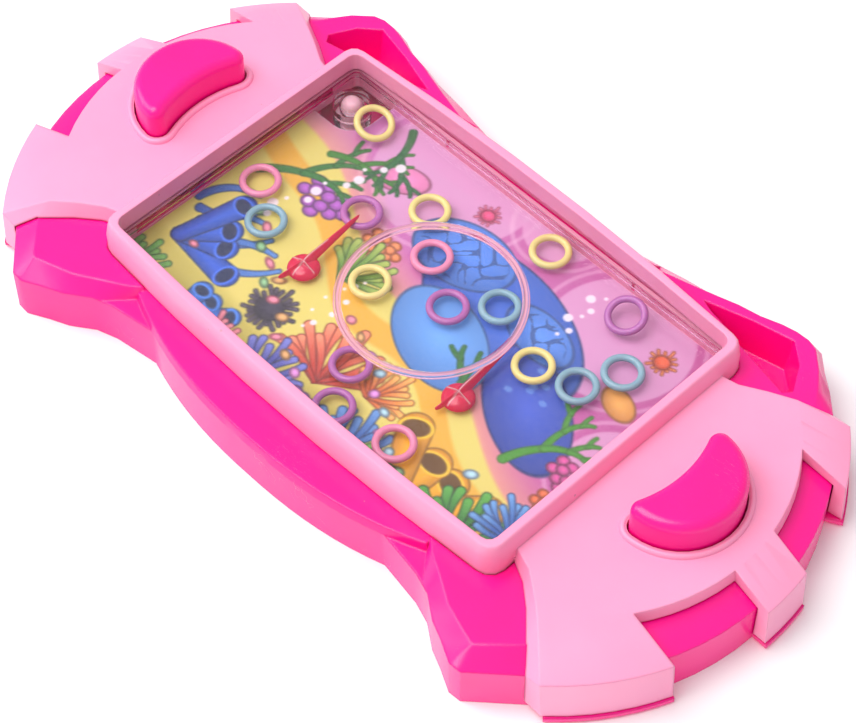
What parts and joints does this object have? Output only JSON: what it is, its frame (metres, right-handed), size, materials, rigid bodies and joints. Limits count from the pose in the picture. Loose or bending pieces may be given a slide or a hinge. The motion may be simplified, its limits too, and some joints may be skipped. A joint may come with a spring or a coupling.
{
  "type": "water ring toss game",
  "caption": "Hand-held water ring toss game: lobed case, clear tank with dished lens, ring pins and loose rings, kidney-shaped pump buttons at both ends.",
  "frame": {"origin": "middle of the back plate's flat underside, where the case lies on a table", "axes": "+X along the case to the right-hand button, +Y up the picture, +Z out of the window"},
  "size_m": [0.1996, 0.1057, 0.0255],
  "materials": {
    "hot_pink_plastic": "moulded, glossy hot pink",
    "light_pink_plastic": "moulded, satin light pink",
    "clear_plastic": "clear moulded plastic",
    "seal_rubber": "pale pink seal",
    "printed_card": "printed card behind clear plastic",
    "plug_rubber": "soft pinkish plug",
    "pin_plastic": "translucent hot pink",
    "ring_yellow": "pale yellow ring",
    "ring_pink": "pink ring",
    "ring_purple": "purple ring",
    "ring_blue": "grey-blue ring",
    "bellows_rubber": "soft white rubber",
    "seat_plastic": "white moulded plastic",
    "screw_steel": "zinc-plated steel"
  },
  "bodies": {
    "case": {"base_shell": "hot_pink_plastic", "back_plate": "hot_pink_plastic", "top_cover": "light_pink_plastic", "tank_tray": "clear_plastic", "tank_seal": "seal_rubber", "tank_window": "clear_plastic", "art_card": "printed_card", "pin_left": "pin_plastic", "pin_right": "pin_plastic", "bellows_right": "bellows_rubber", "bellows_left": "bellows_rubber", "pump_seat_right": "seat_plastic", "pump_seat_left": "seat_plastic", "jet_hose_right": "bellows_rubber", "jet_hose_left": "bellows_rubber", "cover_screw_1": "screw_steel", "cover_screw_2": "screw_steel", "cover_screw_3": "screw_steel", "cover_screw_4": "screw_steel", "plate_screw_1": "screw_steel", "plate_screw_2": "screw_steel", "plate_screw_3": "screw_steel", "plate_screw_4": "screw_steel"},
    "button_right": {"button_right": "hot_pink_plastic"},
    "button_left": {"button_left": "hot_pink_plastic"},
    "filler_plug": {"filler_plug": "plug_rubber"},
    "ring_yellow_1": {"ring_yellow_1": "ring_yellow"},
    "ring_yellow_2": {"ring_yellow_2": "ring_yellow"},
    "ring_yellow_3": {"ring_yellow_3": "ring_yellow"},
    "ring_yellow_4": {"ring_yellow_4": "ring_yellow"},
    "ring_yellow_5": {"ring_yellow_5": "ring_yellow"},
    "ring_pink_1": {"ring_pink_1": "ring_pink"},
    "ring_pink_2": {"ring_pink_2": "ring_pink"},
    "ring_pink_3": {"ring_pink_3": "ring_pink"},
    "ring_purple_1": {"ring_purple_1": "ring_purple"},
    "ring_purple_2": {"ring_purple_2": "ring_purple"},
    "ring_purple_3": {"ring_purple_3": "ring_purple"},
    "ring_purple_4": {"ring_purple_4": "ring_purple"},
    "ring_purple_5": {"ring_purple_5": "ring_purple"},
    "ring_blue_1": {"ring_blue_1": "ring_blue"},
    "ring_blue_2": {"ring_blue_2": "ring_blue"},
    "ring_blue_3": {"ring_blue_3": "ring_blue"},
    "ring_blue_4": {"ring_blue_4": "ring_blue"}
  },
  "joints": [
    {"name": "press_right", "type": "slide", "parent": "case", "child": "button_right", "axis": [0, 0, -1], "range_m": [0, 0.0035], "stiffness_N_per_m": 250, "springref_m": -0.002, "deforming": ["bellows_right"]},
    {"name": "press_left", "type": "slide", "parent": "case", "child": "button_left", "axis": [0, 0, -1], "range_m": [0, 0.0035], "stiffness_N_per_m": 250, "springref_m": -0.002, "deforming": ["bellows_left"]},
    {"name": "pull_plug", "type": "slide", "parent": "case", "child": "filler_plug", "axis": [0, 0, -1], "range_m": [0, 0.012]},
    {"name": "lift_ring_yellow_1", "type": "slide", "parent": "case", "child": "ring_yellow_1", "axis": [0, 0, 1], "range_m": [0, 0.0021]},
    {"name": "lift_ring_yellow_2", "type": "slide", "parent": "case", "child": "ring_yellow_2", "axis": [0, 0, 1], "range_m": [0, 0.0012]},
    {"name": "lift_ring_yellow_3", "type": "slide", "parent": "case", "child": "ring_yellow_3", "axis": [0, 0, 1], "range_m": [0, 0.0021]},
    {"name": "lift_ring_yellow_4", "type": "slide", "parent": "case", "child": "ring_yellow_4", "axis": [0, 0, 1], "range_m": [0, 0.0021]},
    {"name": "lift_ring_yellow_5", "type": "slide", "parent": "case", "child": "ring_yellow_5", "axis": [0, 0, 1], "range_m": [0, 0.0001]},
    {"name": "lift_ring_pink_1", "type": "slide", "parent": "case", "child": "ring_pink_1", "axis": [0, 0, 1], "range_m": [0, 0.0012]},
    {"name": "lift_ring_pink_2", "type": "slide", "parent": "case", "child": "ring_pink_2", "axis": [0, 0, 1], "range_m": [0, 0.0021]},
    {"name": "lift_ring_pink_3", "type": "slide", "parent": "case", "child": "ring_pink_3", "axis": [0, 0, 1], "range_m": [0, 0.0021]},
    {"name": "drift_ring_purple_1", "type": "slide", "parent": "case", "child": "ring_purple_1", "axis": [0, 1, 0], "range_m": [0, 0.015]},
    {"name": "lift_ring_purple_2", "type": "slide", "parent": "case", "child": "ring_purple_2", "axis": [0, 0, 1], "range_m": [0, 0.0009]},
    {"name": "lift_ring_purple_3", "type": "slide", "parent": "case", "child": "ring_purple_3", "axis": [0, 0, 1], "range_m": [0, 0.0001]},
    {"name": "lift_ring_purple_4", "type": "slide", "parent": "case", "child": "ring_purple_4", "axis": [0, 0, 1], "range_m": [0, 0.0018]},
    {"name": "lift_ring_purple_5", "type": "slide", "parent": "case", "child": "ring_purple_5", "axis": [0, 0, 1], "range_m": [0, 0.0021]},
    {"name": "lift_ring_blue_1", "type": "slide", "parent": "case", "child": "ring_blue_1", "axis": [0, 0, 1], "range_m": [0, 0.0012]},
    {"name": "lift_ring_blue_2", "type": "slide", "parent": "case", "child": "ring_blue_2", "axis": [0, 0, 1], "range_m": [0, 0.0021]},
    {"name": "lift_ring_blue_3", "type": "slide", "parent": "case", "child": "ring_blue_3", "axis": [0, 0, 1], "range_m": [0, 0.0021]},
    {"name": "lift_ring_blue_4", "type": "slide", "parent": "case", "child": "ring_blue_4", "axis": [0, 0, 1], "range_m": [0, 0.0021]}
  ]
}
